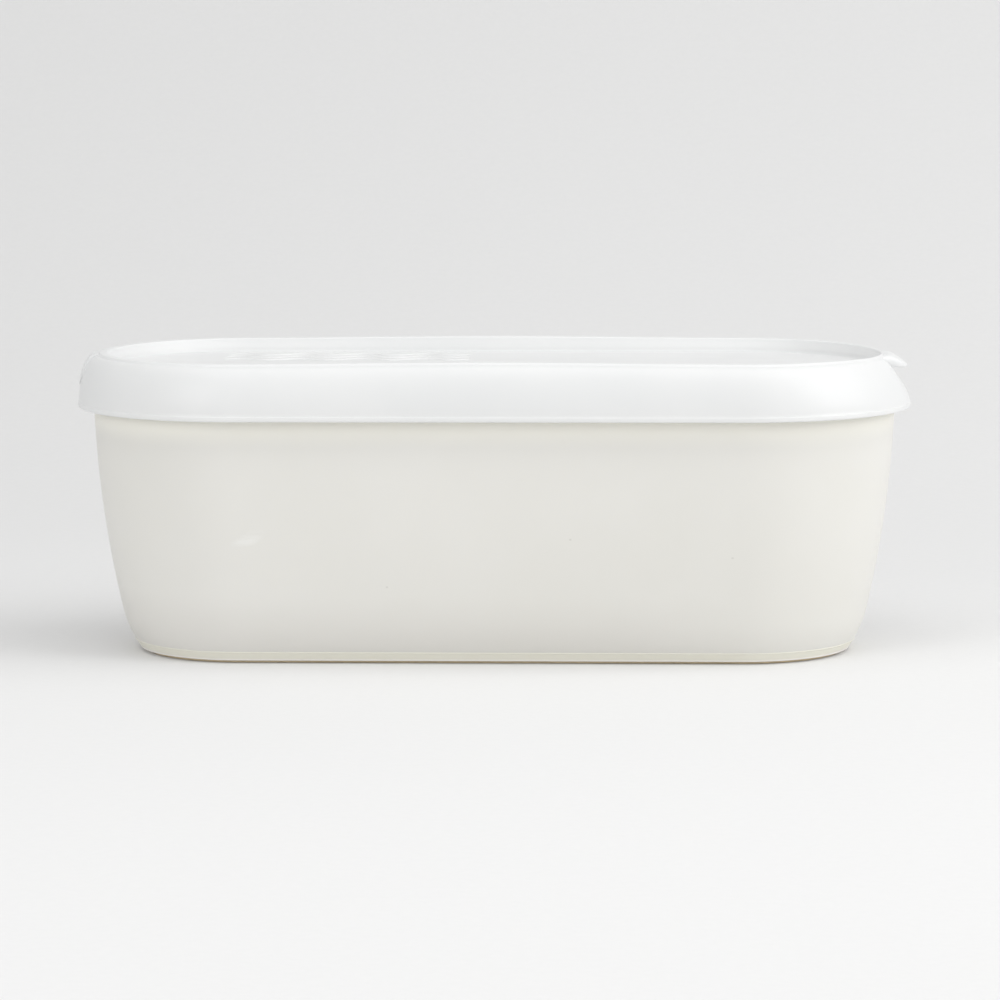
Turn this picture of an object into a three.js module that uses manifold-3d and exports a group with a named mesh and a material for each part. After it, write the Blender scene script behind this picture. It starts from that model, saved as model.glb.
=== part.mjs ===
// A long ice cream tub with its soft lid pressed on: a tapered tub on a thin foot,
// under a lid with a raised crest, a sunk top panel, a flared skirt and a pull tab at each end.
//
// Millimetres. X runs along the tub, Y across it and Z up.
// The origin is on the floor, under the middle of the foot.
//
// In plan every level is a racetrack: two straight sides and two half-round ends, drawn
// round one straight spine. A level is therefore given by its distance from that spine.

import * as THREE from "three";
import { mergeVertices } from "three/addons/utils/BufferGeometryUtils.js";
import Module from "manifold-3d";

// Plan
const SPINE_HALF = 86.6; // from the middle to the centre of each round end
const END_COLUMNS = 32; // columns of points round each end
const SIDE_COLUMNS = 12; // columns of points along each straight side

// Tub wall: plumb at the rim, then leaning in along one long arc, with a rounded heel
const RIM_DISTANCE = 53;
const RIM_HEIGHT = 97.4;
const WALL_ARC = 372;
const HEEL_HEIGHT = 14.3;
const HEEL_RADIUS = 34;
const WALL_LEVELS = 12;
const WALL_CROWDING = 1.3; // above 1, so that the levels stand closer together near the heel

// Foot: a thin base that carries on the heel's curve, with an inset pad under it that meets the floor
const FOOT_HEIGHT = 4;
const FOOT_EDGE = 0.5; // size of the eased lower edge
const PAD_HEIGHT = 0.8;
const PAD_INSET = 2;

const GAP = 0.3; // clearance between touching pieces
const JOIN_WITHIN = 0.001; // points closer than this are one point

// Lid, from the skirt up
const SKIRT_DISTANCE = 58.4; // makes the lid 290 long and 116.8 wide
const SKIRT_BOTTOM = 85.5;
const SKIRT_WALL = 1.7;
const LIP_HEIGHT = 1.8; // thin band round the lower edge
const LIP_STEP = 0.25;
const CREST_TOP = 104.35;
const CREST_ROUND = 0.7;
const CROWN = 0.65; // the crest rises this much at the middle of the long sides
const CROWN_HALF = 95;
const RIGHT_DIP = 0.45; // and it drops this much round the end with the raised tab
const LEFT_DIP = 0.2;
const DIP_FROM = 112;
const DIP_TO = 137;
const CREST_INNER = 47.7;
const PANEL_EDGE = 46.2;
const PANEL_TOP = 99.7;
const PANEL_FILLET = 1.1;
const SHOULDER_LEVELS = 7;

// The soft shoulder is full round most of the lid and turns leaner round the end with the raised
// tab. Right under that tab it starts lower as well, which leaves a hollow for a finger.
const SHOULDER_DROP = 0.9;
const FULL = { distance: 51.6, power: 1.75 };
const LEAN = { distance: 49.9, power: 1.4 };
const LEAN_FROM = 92;
const LEAN_TO = 134;
const HOLLOW_DROP = 5.1;
const HOLLOW_FROM = THREE.MathUtils.degToRad(6);
const HOLLOW_TO = THREE.MathUtils.degToRad(17);

// Underside of the lid: flat over the filled tub, sloping to the rim, then up the skirt's inner face
const UNDERSIDE = RIM_HEIGHT + GAP;
const UNDERSIDE_EDGE = 48.2;
const BEVEL_DROP = 5.4;
const GRIP_LEAD = 1;
const GRIP_DROP = 3.4;

// Pull tabs. Points on the raised tab's top are [reach from its root, drop below the crest].
const TAB_HALF_WIDTH = 9.3;
const TAB_ROOT_SPREAD = 3.2; // the raised tab widens this much on each side where it meets the crest
const TAB_ROOT_LENGTH = 3.4;
const TAB_TIP = 143.7;
const TAB_TIP_ROUND = 4.8;
const TAB_LEAVES_CREST = [2.1, 0.6];
const TAB_BEND = [3.4, 0.8];
const TAB_SLOPE_START = [5.2, 2];
const TAB_SLOPE_END = 4.1; // drop where the slope meets the eased tip
const TAB_TIP_DROP = 4.7;
const TAB_TIP_EASE = 0.4;
const FOLDED_TAB_WALL = 0.8;
const FOLDED_TAB_TOP = 103.7;
const FOLDED_TAB_BOTTOM = 92.6;
const TAB_SEGMENTS = 20;

// Three raised ripples on the panel
const RIPPLES = 3;
const RIPPLE_START = -96;
const RIPPLE_LENGTH = 87;
const RIPPLE_FIRST_Y = 16;
const RIPPLE_PITCH = 9;
const RIPPLE_WAVES = 4;
const RIPPLE_SWING = 2.2;
const RIPPLE_WIDTH = 2.4;
const RIPPLE_RISE = 0.7;
const RIPPLE_ROOT = 0.4; // how deep each one runs into the panel
const RIPPLE_STEPS = 36;
const RIPPLE_SEGMENTS = 3;

// Finishes
const TUB_FINISH = { color: 0xe4e2dc, roughness: 0.42, metalness: 0 };
const FOOT_FINISH = { color: 0xdfdccf, roughness: 0.6, metalness: 0 };
const LID_FINISH = { color: 0xf6f8f9, roughness: 0.5, metalness: 0 };

const wasm = await Module();
wasm.setup();

// A closed mesh: shared points are joined, and triangles that have shrunk to a line are dropped
function closed(geometry) {
  geometry.deleteAttribute("normal");
  geometry.deleteAttribute("uv");
  const joined = mergeVertices(geometry, JOIN_WITHIN);
  const corners = joined.index.array;
  const kept = [];
  for (let i = 0; i < corners.length; i += 3) {
    const [a, b, c] = corners.slice(i, i + 3);
    if (a !== b && b !== c && c !== a) kept.push(a, b, c);
  }
  joined.setIndex(kept);
  return joined;
}

function solid(geometry) {
  const mesh = closed(geometry);
  return new wasm.Manifold(
    new wasm.Mesh({
      numProp: 3,
      vertProperties: mesh.getAttribute("position").array,
      triVerts: new Uint32Array(mesh.index.array),
    })
  );
}

function geometryOf(manifold) {
  const mesh = manifold.getMesh();
  const geometry = new THREE.BufferGeometry();
  geometry.setAttribute("position", new THREE.BufferAttribute(mesh.vertProperties, 3));
  geometry.setIndex(new THREE.BufferAttribute(mesh.triVerts, 1));
  return geometry;
}

// The columns of a racetrack, anticlockwise from above: each has a centre on the spine and a bearing
function racetrackColumns() {
  const columns = [];
  const addEnd = (centre, start) => {
    for (let i = 0; i < END_COLUMNS; i++) {
      columns.push({ centre, bearing: start + (i * Math.PI) / END_COLUMNS });
    }
  };
  const addSide = (start, bearing) => {
    for (let i = 0; i < SIDE_COLUMNS; i++) {
      columns.push({ centre: start * (1 - (2 * i) / SIDE_COLUMNS), bearing });
    }
  };
  addEnd(SPINE_HALF, -Math.PI / 2);
  addSide(SPINE_HALF, Math.PI / 2);
  addEnd(-SPINE_HALF, Math.PI / 2);
  addSide(-SPINE_HALF, (3 * Math.PI) / 2);
  return columns;
}
const COLUMNS = racetrackColumns();

// A lathed form whose columns are moved to the racetrack. profileAt gives, for one column, the
// section as [distance from the spine, height] from the middle of the underside to the middle
// of the top, with as many points in every column.
function racetrack(profileAt) {
  const points = profileAt(COLUMNS[0]).map(([distance, height]) => new THREE.Vector2(distance, height));
  const lathe = new THREE.LatheGeometry(points, COLUMNS.length);
  const position = lathe.getAttribute("position");
  for (let c = 0; c <= COLUMNS.length; c++) {
    const column = COLUMNS[c % COLUMNS.length];
    profileAt(column).forEach(([distance, height], p) => {
      const x = column.centre + distance * Math.cos(column.bearing);
      const y = distance * Math.sin(column.bearing);
      position.setXYZ(c * points.length + p, x, y, height);
    });
  }
  return lathe;
}

// Distance of the outside of tub and foot from the spine at a height
function outside(height) {
  const sag = (radius, run) => radius - Math.sqrt(radius * radius - run * run);
  const wall = RIM_DISTANCE - sag(WALL_ARC, RIM_HEIGHT - height);
  return wall - sag(HEEL_RADIUS, Math.max(0, HEEL_HEIGHT - height));
}

// The tub is shut and can't be seen into, so it is filled up to the underside of the lid
function tubProfile() {
  const bottom = FOOT_HEIGHT + GAP;
  const rim = UNDERSIDE - BEVEL_DROP - GAP;
  const profile = [[0, bottom]];
  for (let i = 0; i <= WALL_LEVELS; i++) {
    const height = bottom + (rim - bottom) * Math.pow(i / WALL_LEVELS, WALL_CROWDING);
    profile.push([outside(height), height]);
  }
  profile.push([UNDERSIDE_EDGE - GAP, RIM_HEIGHT], [0, RIM_HEIGHT]);
  return profile;
}

function footProfile() {
  const edge = PAD_HEIGHT + FOOT_EDGE;
  const middle = (edge + FOOT_HEIGHT) / 2;
  const pad = outside(PAD_HEIGHT) - PAD_INSET;
  return [
    [0, 0],
    [pad, 0],
    [pad, PAD_HEIGHT],
    [outside(edge) - FOOT_EDGE, PAD_HEIGHT],
    [outside(edge), edge],
    [outside(middle), middle],
    [outside(FOOT_HEIGHT), FOOT_HEIGHT],
    [0, FOOT_HEIGHT],
  ];
}

// The form of the shoulder at a column
function shoulderForm(column) {
  const x = column.centre + RIM_DISTANCE * Math.cos(column.bearing);
  const lean = THREE.MathUtils.smoothstep(x, LEAN_FROM, LEAN_TO);
  const beside = THREE.MathUtils.smoothstep(Math.abs(column.bearing), HOLLOW_FROM, HOLLOW_TO);
  return {
    distance: THREE.MathUtils.lerp(FULL.distance, LEAN.distance, lean),
    power: THREE.MathUtils.lerp(FULL.power, LEAN.power, lean),
    drop: THREE.MathUtils.lerp(HOLLOW_DROP, SHOULDER_DROP, beside),
  };
}

// The outside of the skirt above its lip: upright at the lip and level at the crest, on a curve
// that a power of 1 makes a straight slope and a high power makes a square corner
function shoulder({ distance, power, drop = SHOULDER_DROP }, crest, grow = 0) {
  const wall = SKIRT_DISTANCE - LIP_STEP + grow;
  const lipTop = SKIRT_BOTTOM + LIP_HEIGHT;
  const shoulderTop = crest - drop + grow;
  const inner = distance + grow;
  const curve = [];
  for (let i = 0; i <= SHOULDER_LEVELS; i++) {
    const turn = (Math.PI / 2) * (i / SHOULDER_LEVELS);
    const out = i < SHOULDER_LEVELS ? Math.pow(Math.cos(turn), 2 / power) : 0;
    const up = Math.pow(Math.sin(turn), 2 / power);
    curve.push([inner + (wall - inner) * out, lipTop + (shoulderTop - lipTop) * up]);
  }
  return curve;
}

// Height of the crest at a column
function crestAt(column) {
  const x = column.centre + CREST_INNER * Math.cos(column.bearing);
  const along = Math.abs(x);
  const crown = (CROWN * (1 + Math.cos((Math.PI * Math.min(along, CROWN_HALF)) / CROWN_HALF))) / 2;
  const dip = (x > 0 ? RIGHT_DIP : LEFT_DIP) * THREE.MathUtils.smoothstep(along, DIP_FROM, DIP_TO);
  return CREST_TOP + crown - dip;
}

function lidProfile(column) {
  const form = shoulderForm(column);
  const crest = crestAt(column);
  const grip = UNDERSIDE - BEVEL_DROP;

  const underside = [
    [0, UNDERSIDE],
    [UNDERSIDE_EDGE, UNDERSIDE],
    [RIM_DISTANCE + GAP, grip],
    [RIM_DISTANCE + 2 * GAP, grip - GRIP_LEAD],
    [SKIRT_DISTANCE - SKIRT_WALL, grip - GRIP_DROP],
    [SKIRT_DISTANCE - SKIRT_WALL, SKIRT_BOTTOM],
  ];
  const lip = [
    [SKIRT_DISTANCE - LIP_STEP, SKIRT_BOTTOM],
    [SKIRT_DISTANCE, SKIRT_BOTTOM + LIP_STEP],
    [SKIRT_DISTANCE, SKIRT_BOTTOM + LIP_HEIGHT - LIP_STEP],
  ];
  const top = [
    [form.distance, crest - CREST_ROUND],
    [form.distance - CREST_ROUND, crest],
    [CREST_INNER + CREST_ROUND, crest],
    [CREST_INNER, crest - CREST_ROUND],
    [PANEL_EDGE, PANEL_TOP + PANEL_FILLET],
    [PANEL_EDGE - PANEL_FILLET, PANEL_TOP],
    [0, PANEL_TOP],
  ];
  return [...underside, ...lip, ...shoulder(form, crest), ...top];
}

// A side outline [along, up] given thickness across the tub
function acrossTub(shape, width) {
  const slab = new THREE.ExtrudeGeometry(shape, {
    depth: width,
    bevelEnabled: false,
    curveSegments: TAB_SEGMENTS,
  });
  return slab.rotateX(Math.PI / 2).translate(0, width / 2, 0);
}

// The tab that sticks out: a wedge that slopes down from the crest to a rounded tip
function raisedTab() {
  const root = SPINE_HALF + CREST_INNER + CREST_ROUND;
  const at = ([reach, drop]) => [root + reach, CREST_TOP - drop];
  const side = new THREE.Shape();
  side.moveTo(...at([0, CREST_ROUND]));
  side.lineTo(...at(TAB_LEAVES_CREST));
  side.quadraticCurveTo(...at(TAB_BEND), ...at(TAB_SLOPE_START));
  side.lineTo(TAB_TIP - TAB_TIP_EASE, CREST_TOP - TAB_SLOPE_END);
  side.lineTo(TAB_TIP, CREST_TOP - TAB_TIP_DROP);
  side.lineTo(TAB_TIP - TAB_TIP_EASE, CREST_TOP - TAB_TIP_DROP - TAB_TIP_EASE);
  side.lineTo(SPINE_HALF + LEAN.distance, CREST_TOP - HOLLOW_DROP);
  side.lineTo(root, CREST_TOP - HOLLOW_DROP);
  side.closePath();

  const plan = new THREE.Shape();
  const rootHalfWidth = TAB_HALF_WIDTH + TAB_ROOT_SPREAD;
  const [bend, straight] = [root + TAB_ROOT_LENGTH / 2, root + TAB_ROOT_LENGTH];
  plan.moveTo(root, -rootHalfWidth);
  plan.quadraticCurveTo(bend, -TAB_HALF_WIDTH, straight, -TAB_HALF_WIDTH);
  plan.absellipse(
    TAB_TIP - TAB_TIP_ROUND, 0, TAB_TIP_ROUND, TAB_HALF_WIDTH, -Math.PI / 2, Math.PI / 2, false
  );
  plan.lineTo(straight, TAB_HALF_WIDTH);
  plan.quadraticCurveTo(bend, TAB_HALF_WIDTH, root, rootHalfWidth);
  plan.closePath();
  const outline = new THREE.ExtrudeGeometry(plan, {
    depth: CREST_TOP,
    bevelEnabled: false,
    curveSegments: TAB_SEGMENTS,
  });

  return solid(acrossTub(side, 3 * TAB_HALF_WIDTH)).intersect(solid(outline));
}

// The tab that is folded down: a strip of the same width, lying on the shoulder at the other end
function foldedTab() {
  // The jacket stays clear of the tub by running just above the lid's underside
  const jacket = racetrack(() => [
    [0, UNDERSIDE + GAP],
    [UNDERSIDE_EDGE + GAP, UNDERSIDE + GAP],
    [RIM_DISTANCE + 2 * GAP, UNDERSIDE - BEVEL_DROP],
    ...shoulder(FULL, CREST_TOP, FOLDED_TAB_WALL),
    [FULL.distance - CREST_ROUND, CREST_TOP],
    [0, CREST_TOP],
  ]);
  const face = new THREE.Shape();
  face.moveTo(TAB_HALF_WIDTH, FOLDED_TAB_TOP);
  face.lineTo(-TAB_HALF_WIDTH, FOLDED_TAB_TOP);
  face.absellipse(
    0, FOLDED_TAB_BOTTOM + TAB_TIP_ROUND, TAB_HALF_WIDTH, TAB_TIP_ROUND, Math.PI, 2 * Math.PI, false
  );
  face.closePath();
  const slab = new THREE.ExtrudeGeometry(face, {
    depth: SKIRT_DISTANCE - FULL.distance,
    bevelEnabled: false,
    curveSegments: TAB_SEGMENTS,
  });
  // Stood up with the outline facing along X, at the outer face of the skirt
  slab.rotateX(Math.PI / 2).rotateZ(Math.PI / 2).translate(-SPINE_HALF - SKIRT_DISTANCE - GAP, 0, 0);
  return solid(jacket).intersect(solid(slab));
}

// One raised ripple: a low half-round drawn along a wave on the panel
function ripple(row) {
  const along = [];
  for (let i = 0; i <= RIPPLE_STEPS; i++) {
    const share = i / RIPPLE_STEPS;
    const swing = RIPPLE_SWING * Math.sin(2 * Math.PI * RIPPLE_WAVES * share);
    const y = RIPPLE_FIRST_Y + row * RIPPLE_PITCH + swing;
    along.push(new THREE.Vector3(RIPPLE_START + RIPPLE_LENGTH * share, y, PANEL_TOP));
  }
  // The section's own X points down and its Y across
  const section = new THREE.Shape();
  section.moveTo(RIPPLE_ROOT, -RIPPLE_WIDTH / 2);
  section.lineTo(RIPPLE_ROOT, RIPPLE_WIDTH / 2);
  section.absellipse(0, 0, RIPPLE_RISE, RIPPLE_WIDTH / 2, Math.PI / 2, (3 * Math.PI) / 2, false);
  section.closePath();
  const path = new THREE.CatmullRomCurve3(along);
  return solid(
    new THREE.ExtrudeGeometry(section, {
      steps: RIPPLE_STEPS,
      extrudePath: path,
      curveSegments: RIPPLE_SEGMENTS,
    })
  );
}

function lidSolid() {
  let lid = solid(racetrack(lidProfile));
  lid = lid.add(raisedTab()).add(foldedTab());
  for (let row = 0; row < RIPPLES; row++) lid = lid.add(ripple(row));
  return lid;
}

function part(name, geometry, finish) {
  const mesh = new THREE.Mesh(geometry, new THREE.MeshStandardMaterial(finish));
  mesh.name = name;
  return mesh;
}

const tub = new THREE.Group();
tub.name = "ice_cream_tub";
tub.add(part("foot", closed(racetrack(footProfile)), FOOT_FINISH));
tub.add(part("tub", closed(racetrack(tubProfile)), TUB_FINISH));
tub.add(part("lid", geometryOf(lidSolid()), LID_FINISH));

export default tub;
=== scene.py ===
# %% [markdown]
# A long ice cream tub with its soft lid on.
# The real thing is moulded in three pieces: a tapered tub of satin plastic, a thin warm-coloured
# foot under it, and a soft white lid that is pressed over the rim. The imported model is loaded
# first, and it gives every piece its place. Its box is kept.

# %% Load the part
import math

import bmesh
import bpy
from mathutils import Matrix, Vector


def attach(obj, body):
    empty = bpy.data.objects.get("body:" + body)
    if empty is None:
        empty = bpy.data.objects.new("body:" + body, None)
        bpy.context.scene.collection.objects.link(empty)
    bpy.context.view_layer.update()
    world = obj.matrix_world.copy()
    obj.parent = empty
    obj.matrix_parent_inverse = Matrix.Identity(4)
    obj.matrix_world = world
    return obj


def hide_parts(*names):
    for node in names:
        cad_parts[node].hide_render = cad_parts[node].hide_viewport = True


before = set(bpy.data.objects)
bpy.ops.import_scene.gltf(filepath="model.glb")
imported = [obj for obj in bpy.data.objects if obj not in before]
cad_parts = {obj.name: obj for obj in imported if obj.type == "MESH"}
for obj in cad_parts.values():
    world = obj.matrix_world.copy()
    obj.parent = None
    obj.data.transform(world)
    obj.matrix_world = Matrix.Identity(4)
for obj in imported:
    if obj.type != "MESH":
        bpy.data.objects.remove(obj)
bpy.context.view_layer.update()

# %% [markdown]
# Seen from above, every level of the tub and its lid is a racetrack: two straight sides and two
# half-round ends, drawn round one straight spine. A scaled copy of one outline would not do,
# because the ends would stop being round. So a level is given by its distance from the spine, and
# a column of points has a centre on the spine and a bearing away from it.

# %% The plan
MM = 0.001
SPINE_HALF = 86.6
END_COLUMNS = 64
SIDE_COLUMNS = 24


def racetrack_columns():
    """The columns as (centre, bearing), anticlockwise from above."""
    columns = []
    for side in (1, -1):
        start = -math.pi / 2 if side > 0 else math.pi / 2
        for i in range(END_COLUMNS):
            columns.append((side * SPINE_HALF, start + math.pi * i / END_COLUMNS))
        for i in range(SIDE_COLUMNS):
            centre = side * SPINE_HALF * (1 - 2 * i / SIDE_COLUMNS)
            columns.append((centre, start + math.pi))
    return columns


COLUMNS = racetrack_columns()
print("columns of points round a level:", len(COLUMNS))

# %% [markdown]
# Two pieces, the lid and the foot, are made in mesh code: a section is worked out for every
# column and the rows between sections are joined with four-sided faces. The section runs from the
# middle of the underside, out and up, to the middle of the top, so the faces point outwards. At
# the spine many points fall together, and these doubles are merged to close the mesh.


# %% Mesh helpers
SHARP_DEGREES = 38
DOUBLES_MM = 0.002
EMPTY_MM = 0.001


def piece_from(mesh, name):
    """An object at the origin that holds the mesh, with smooth faces and crisp true edges."""
    mesh.shade_smooth()
    mesh.set_sharp_from_angle(angle=math.radians(SHARP_DEGREES))
    piece = bpy.data.objects.new(name, mesh)
    bpy.context.scene.collection.objects.link(piece)
    return piece


def closed_mesh(work, name):
    """A clean mesh out of a bmesh: doubles merged and empty faces dropped."""
    bmesh.ops.remove_doubles(work, verts=work.verts, dist=DOUBLES_MM * MM)
    bmesh.ops.dissolve_degenerate(work, edges=work.edges, dist=EMPTY_MM * MM)
    open_edges = sum(1 for edge in work.edges if not edge.is_manifold)
    mesh = bpy.data.meshes.new(name)
    work.to_mesh(mesh)
    work.free()
    print(name, "faces:", len(mesh.polygons), "open edges:", open_edges)
    return mesh


def racetrack_mesh(name, section_at):
    """A closed mesh from section_at(centre, bearing), a list of (distance, height) in mm."""
    work = bmesh.new()
    rows = []
    for centre, bearing in COLUMNS:
        row = []
        for distance, height in section_at(centre, bearing):
            x = centre + distance * math.cos(bearing)
            y = distance * math.sin(bearing)
            row.append(work.verts.new((x * MM, y * MM, height * MM)))
        rows.append(row)
    for here, there in zip(rows, rows[1:] + rows[:1]):
        for low in range(len(here) - 1):
            work.faces.new((here[low], there[low], there[low + 1], here[low + 1]))
    return closed_mesh(work, name)


def arc(centre, radius, start, end, steps):
    """Points of an arc, with its angles in degrees."""
    points = []
    for i in range(steps + 1):
        angle = math.radians(start + (end - start) * i / steps)
        points.append((centre[0] + radius * math.cos(angle), centre[1] + radius * math.sin(angle)))
    return points


# %% [markdown]
# Finishes are node trees. These few helpers keep them readable: each line of a finish then says
# what is worked out, and not how nodes are wired. They serve the Geometry Nodes trees as well,
# because both kinds of tree share the Math and Map Range nodes.


# %% Node helpers
def node(tree, kind, **settings):
    made = tree.nodes.new(kind)
    for key, value in settings.items():
        setattr(made, key, value)
    return made


def feed(tree, socket, value):
    if isinstance(value, bpy.types.NodeSocket):
        tree.links.new(value, socket)
    else:
        socket.default_value = value


def calc(tree, operation, *values):
    made = node(tree, "ShaderNodeMath", operation=operation)
    for socket, value in zip(made.inputs, values):
        feed(tree, socket, value)
    return made.outputs[0]


def remap(tree, value, low, high, new_low=0.0, new_high=1.0, soft=False):
    kind = "SMOOTHSTEP" if soft else "LINEAR"
    made = node(tree, "ShaderNodeMapRange", interpolation_type=kind)
    for key, given in (
        ("Value", value),
        ("From Min", low),
        ("From Max", high),
        ("To Min", new_low),
        ("To Max", new_high),
    ):
        feed(tree, made.inputs[key], given)
    return made.outputs["Result"]


def fade(tree, value, reach_mm, full=1.0):
    """Rises softly from 0 to full between two places, given in mm."""
    none_at, full_at = reach_mm
    return remap(tree, value, none_at * MM, full_at * MM, 0, full, soft=True)


def new_finish(name, **settings):
    """A material with its Principled shader, whose even values sit on its own sockets."""
    material = bpy.data.materials.new(name)
    material.use_nodes = True
    shader = material.node_tree.nodes["Principled BSDF"]
    for key, value in settings.items():
        shader.inputs[key.replace("_", " ")].default_value = value
    return material, material.node_tree, shader


def place(tree):
    """The point on the piece, in metres."""
    return node(tree, "ShaderNodeTexCoord").outputs["Object"]


def parts_of(tree, coordinates):
    """The three numbers of a point, under the names X, Y and Z."""
    parts = node(tree, "ShaderNodeSeparateXYZ")
    feed(tree, parts.inputs[0], coordinates)
    return parts.outputs


def noise(tree, coordinates, size_mm, detail, stretch=(1, 1, 1)):
    """Soft noise with features of about this size, from 0 to 1."""
    turned = node(tree, "ShaderNodeMapping")
    feed(tree, turned.inputs["Vector"], coordinates)
    feed(tree, turned.inputs["Scale"], stretch)
    made = node(tree, "ShaderNodeTexNoise")
    feed(tree, made.inputs["Vector"], turned.outputs[0])
    feed(tree, made.inputs["Scale"], 1 / (size_mm * MM))
    feed(tree, made.inputs["Detail"], detail)
    return made.outputs["Fac"]


def blend(tree, amount, first, second):
    """A colour between two, by amount."""
    made = node(tree, "ShaderNodeMix", data_type="RGBA")
    feed(tree, made.inputs["Factor"], amount)
    for key, colour in (("A", first), ("B", second)):
        socket = next(s for s in made.inputs if s.name == key and s.type == "RGBA")
        feed(tree, socket, colour)
    return next(s for s in made.outputs if s.type == "RGBA")


def bump(tree, height, distance_mm, strength):
    made = node(tree, "ShaderNodeBump")
    feed(tree, made.inputs["Height"], height)
    feed(tree, made.inputs["Distance"], distance_mm * MM)
    feed(tree, made.inputs["Strength"], strength)
    return made.outputs["Normal"]


# %% [markdown]
# The tub's plastic is a warm greyish white with a satin skin. Up close it has three things that a
# flat colour lacks: slow cloudy changes from uneven wall thickness, a fine grain from the mould,
# and a few marks of use. Light and shade are painted into the colour in two places. A painted warm
# glow just under the lid stands in for light that comes through the plastic. Painted shade low
# down, where the heel turns under, is left off the right end, where the light falls. Both fade
# softly. The photograph shows a pale rub on the left of the front, and three specks. A mark is a
# small stretched spot with a soft edge, kept to the front of the tub.

# %% Tub plastic
TUB_LIGHT = (0.785, 0.775, 0.74, 1)
TUB_SHADE = (0.765, 0.755, 0.715, 1)
# A painted warm glow just under the lid, standing in for light that comes through the plastic.
TUB_PAINTED_GLOW = (0.93, 0.915, 0.84, 1)
PAINTED_GLOW_UP = (75, 85)
# Painted shade low down, where the heel turns under, fading out towards the lit right end.
TUB_PAINTED_SHADE = (0.66, 0.64, 0.605, 1)
PAINTED_SHADE_DOWN, PAINTED_SHADE_LEFTWARDS = (26, 12), (110, 40)
PAINTED_SHADE_STRENGTH = 0.35
RUB_PALE = (0.88, 0.88, 0.86, 1)
RUB_AT = (-81.7, 44.5)
RUB_HALF_LONG, RUB_HALF_HIGH, RUB_TURN = 8, 3, 27
RUB_STRENGTH = 0.42
SPECK_DARK = (0.58, 0.57, 0.53, 1)
SPECKS_AT = ((27.6, 44.7), (-34.8, 27.9), (82.5, 38.4))
SPECK_HALF_LONG, SPECK_HALF_HIGH = 0.6, 0.45
SPECK_STRENGTH = 0.5


def spot(tree, parts, middle_mm, half_long_mm, half_high_mm, turn_degrees=0):
    """1 in the middle of a spot on the front of the tub, falling to 0 at its edge."""
    along = calc(tree, "SUBTRACT", parts["X"], middle_mm[0] * MM)
    up = calc(tree, "SUBTRACT", parts["Z"], middle_mm[1] * MM)
    turn = math.radians(turn_degrees)
    cos, sin = math.cos(turn), math.sin(turn)
    long_way = calc(tree, "ADD", calc(tree, "MULTIPLY", along, cos), calc(tree, "MULTIPLY", up, sin))
    high_way = calc(tree, "SUBTRACT", calc(tree, "MULTIPLY", up, cos), calc(tree, "MULTIPLY", along, sin))
    long_share = calc(tree, "POWER", calc(tree, "DIVIDE", long_way, half_long_mm * MM), 2)
    high_share = calc(tree, "POWER", calc(tree, "DIVIDE", high_way, half_high_mm * MM), 2)
    inside = remap(tree, calc(tree, "ADD", long_share, high_share), 1.0, 0.0, soft=True)
    front = calc(tree, "LESS_THAN", parts["Y"], 0.0)
    return calc(tree, "MULTIPLY", inside, front)


def tub_finish():
    material, tree, shader = new_finish(
        "tub_satin_plastic",
        Roughness=0.42,
        IOR=1.46,
        Subsurface_Weight=0.1,
        Subsurface_Scale=0.004,
        Subsurface_Radius=(1, 0.95, 0.85),
    )
    coordinates = place(tree)
    parts = parts_of(tree, coordinates)
    cloud = remap(tree, noise(tree, coordinates, 70, 3), 0.35, 0.65)
    colour = blend(tree, cloud, TUB_LIGHT, TUB_SHADE)
    # Painted light: a warm glow just under the lid.
    colour = blend(tree, fade(tree, parts["Z"], PAINTED_GLOW_UP), colour, TUB_PAINTED_GLOW)
    # Painted shade low down on the heel, kept off the right end where the light falls.
    low = fade(tree, parts["Z"], PAINTED_SHADE_DOWN, PAINTED_SHADE_STRENGTH)
    low = calc(tree, "MULTIPLY", low, fade(tree, parts["X"], PAINTED_SHADE_LEFTWARDS))
    colour = blend(tree, low, colour, TUB_PAINTED_SHADE)

    worn = remap(tree, noise(tree, coordinates, 4, 3, (0.5, 1, 1.6)), 0.4, 0.62)
    rub = spot(tree, parts, RUB_AT, RUB_HALF_LONG, RUB_HALF_HIGH, RUB_TURN)
    rub = calc(tree, "MULTIPLY", rub, worn)
    colour = blend(tree, calc(tree, "MULTIPLY", rub, RUB_STRENGTH), colour, RUB_PALE)
    for middle in SPECKS_AT:
        speck = spot(tree, parts, middle, SPECK_HALF_LONG, SPECK_HALF_HIGH)
        colour = blend(tree, calc(tree, "MULTIPLY", speck, SPECK_STRENGTH), colour, SPECK_DARK)
    feed(tree, shader.inputs["Base Color"], colour)

    roughness = remap(tree, noise(tree, coordinates, 25, 3), 0.3, 0.7, 0.38, 0.47)
    polish = calc(tree, "MULTIPLY", rub, 0.08)
    feed(tree, shader.inputs["Roughness"], calc(tree, "SUBTRACT", roughness, polish))
    grain = noise(tree, coordinates, 0.9, 2)
    feed(tree, shader.inputs["Normal"], bump(tree, grain, 0.012, 0.5))
    return material


TUB_MATERIAL = tub_finish()
print("tub finish nodes:", len(TUB_MATERIAL.node_tree.nodes))

# %% [markdown]
# The tub's wall follows one rule all the way round, so it is a good piece for Geometry Nodes. The
# tree lays out a flat grid, turns each point's number into a column and a level, and places the
# point on the racetrack at the distance that the wall has at its height. The wall is plumb at
# the rim, leans in along one long arc, and turns in faster at the heel on a small arc. Under the
# lid a sloping rim line takes over wherever it is the smaller distance. The levels crowd together
# low down, where the heel curves most. The sizes are inputs with names, so the same tree could
# make a taller or a longer tub.


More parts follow.
